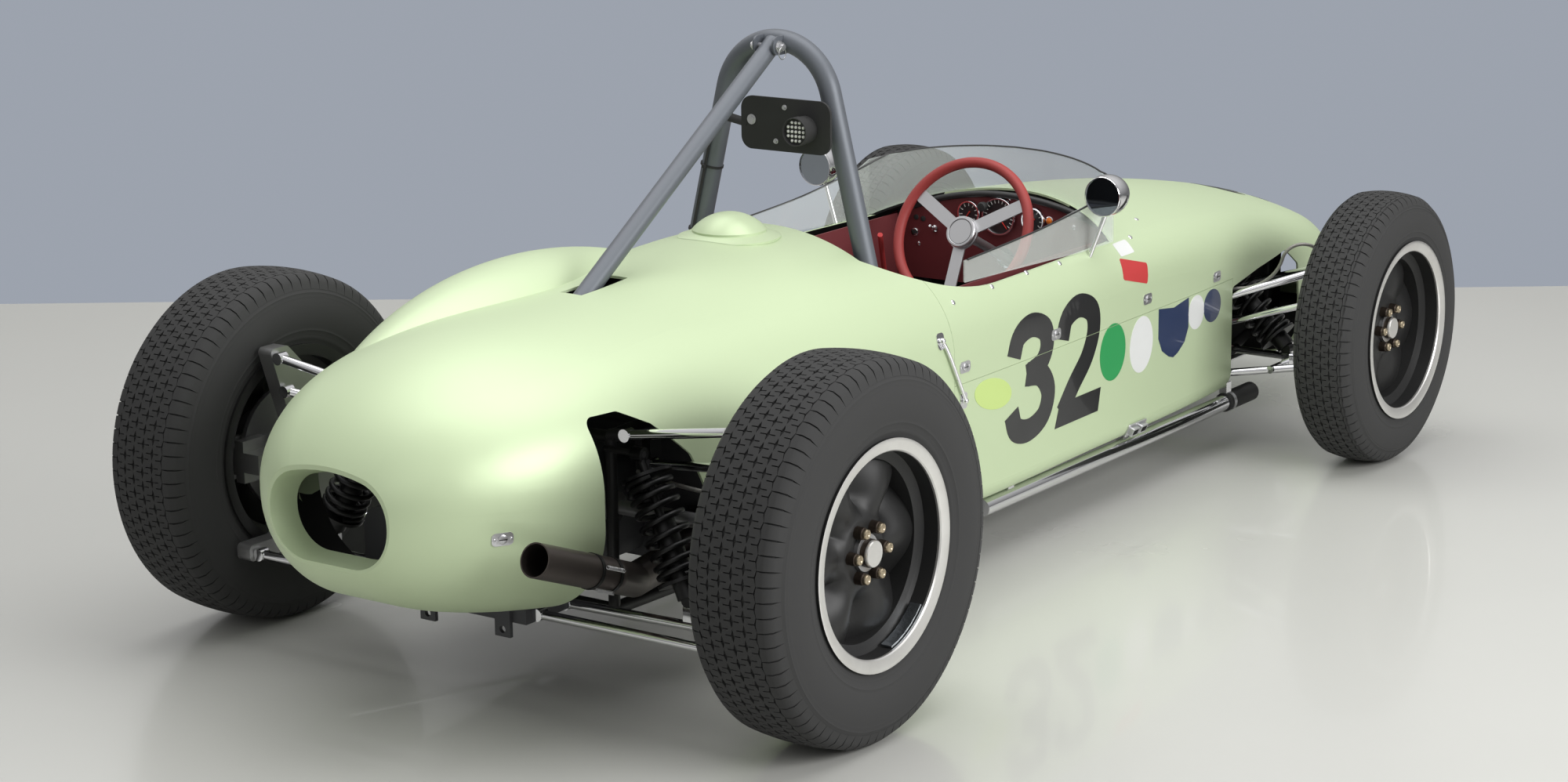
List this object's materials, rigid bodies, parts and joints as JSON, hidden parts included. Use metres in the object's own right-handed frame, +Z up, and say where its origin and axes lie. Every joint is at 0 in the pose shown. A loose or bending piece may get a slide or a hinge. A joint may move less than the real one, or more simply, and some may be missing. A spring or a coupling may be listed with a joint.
{
  "type": "open wheel racing car",
  "caption": "Rear engined single seat open wheel racing car with steered front wheels, cigar shaped body, roll hoop and low clear screen.",
  "frame": {"origin": "centre of the bounding box on the ground, midway between nose and tail", "axes": "+X forward to the nose, +Y to the car's left, +Z up"},
  "size_m": [3.55, 1.583, 1.132],
  "materials": {
    "body_green": "gloss paint",
    "frame_black": "satin paint",
    "hoop_grey": "satin paint",
    "dash_maroon": "semi gloss paint",
    "trim_maroon": "stitched trim",
    "chrome": "polished",
    "bare_alloy": "machined",
    "cast_alloy": "as cast",
    "wheel_black": "gloss paint",
    "tyre": "worn tread",
    "hub_steel": "machined",
    "engine_iron": "painted casting",
    "exhaust_steel": "heat browned",
    "spring_black": "black enamel",
    "rim_leather": "smooth red leather",
    "seat_vinyl": "dark padded vinyl",
    "screen_clear": "clear sheet",
    "lamp_black": "moulded",
    "lever_red": "moulded grip"
  },
  "bodies": {
    "chassis": {"tail_cowl": "body_green", "front_cowl": "body_green", "side_panel_right": "body_green", "side_panel_left": "body_green", "filler_dome": "body_green", "undertray": "bare_alloy", "windscreen": "screen_clear", "dashboard": "dash_maroon", "frame_rear": "frame_black", "frame_middle": "frame_black", "frame_front": "frame_black", "brake_hoses": "lamp_black", "hand_lever": "lever_red", "roll_hoop": "hoop_grey", "roll_stay": "hoop_grey", "engine": "engine_iron", "gearbox": "cast_alloy", "exhaust": "exhaust_steel", "tail_pipe": "exhaust_steel", "coolant_pipes": "bare_alloy", "radiator": "frame_black", "seat": "seat_vinyl", "cockpit_trim": "trim_maroon", "mirrors": "chrome", "rain_light": "lamp_black", "gear_lever": "chrome", "front_wishbones": "chrome", "rear_links": "chrome", "rear_uprights": "cast_alloy", "dampers": "frame_black", "springs": "spring_black", "rack_housing": "cast_alloy"},
    "steering_wheel": {"steering_rim": "rim_leather", "steering_column": "bare_alloy"},
    "rack": {"track_rods": "chrome"},
    "knuckle_right": {"knuckle_right": "frame_black"},
    "knuckle_left": {"knuckle_left": "frame_black"},
    "wheel_rear_right": {"tyre_rear_right": "tyre", "rim_rear_right": "wheel_black", "hub_rear_right": "hub_steel"},
    "wheel_rear_left": {"tyre_rear_left": "tyre", "rim_rear_left": "wheel_black", "hub_rear_left": "hub_steel"},
    "wheel_front_right": {"tyre_front_right": "tyre", "rim_front_right": "wheel_black", "hub_front_right": "hub_steel"},
    "wheel_front_left": {"tyre_front_left": "tyre", "rim_front_left": "wheel_black", "hub_front_left": "hub_steel"}
  },
  "joints": [
    {"name": "spin_rear_right", "type": "hinge", "parent": "chassis", "child": "wheel_rear_right", "pos_m": [-1.215, -0.6925, 0.35], "axis": [0, 1, 0], "continuous": true},
    {"name": "spin_rear_left", "type": "hinge", "parent": "chassis", "child": "wheel_rear_left", "pos_m": [-1.215, 0.6925, 0.35], "axis": [0, 1, 0], "continuous": true},
    {"name": "spin_front_right", "type": "hinge", "parent": "knuckle_right", "child": "wheel_front_right", "pos_m": [1.071, -0.6575, 0.317], "axis": [0, 1, 0], "continuous": true},
    {"name": "spin_front_left", "type": "hinge", "parent": "knuckle_left", "child": "wheel_front_left", "pos_m": [1.071, 0.6575, 0.317], "axis": [0, 1, 0], "continuous": true},
    {"name": "steer_right", "type": "hinge", "parent": "chassis", "child": "knuckle_right", "pos_m": [1.071, -0.585, 0.317], "axis": [0, 0, 1], "range_deg": [-25, 25]},
    {"name": "steer_left", "type": "hinge", "parent": "chassis", "child": "knuckle_left", "pos_m": [1.071, 0.585, 0.317], "axis": [0, 0, 1], "range_deg": [-25, 25]},
    {"name": "rack_slide", "type": "slide", "parent": "chassis", "child": "rack", "axis": [0, 1, 0], "range_m": [-0.049, 0.049]},
    {"name": "steering_wheel_turn", "type": "hinge", "parent": "chassis", "child": "steering_wheel", "pos_m": [0.299, 0, 0.598], "axis": [-0.9014, 0, 0.433], "range_deg": [-301, 301]}
  ],
  "couplings": [
    {"joint": "steer_left", "follows": "steer_right", "ratio": 1},
    {"joint": "rack_slide", "follows": "steer_right", "m_per_rad": -0.11},
    {"joint": "steering_wheel_turn", "follows": "steer_right", "ratio": 12}
  ]
}
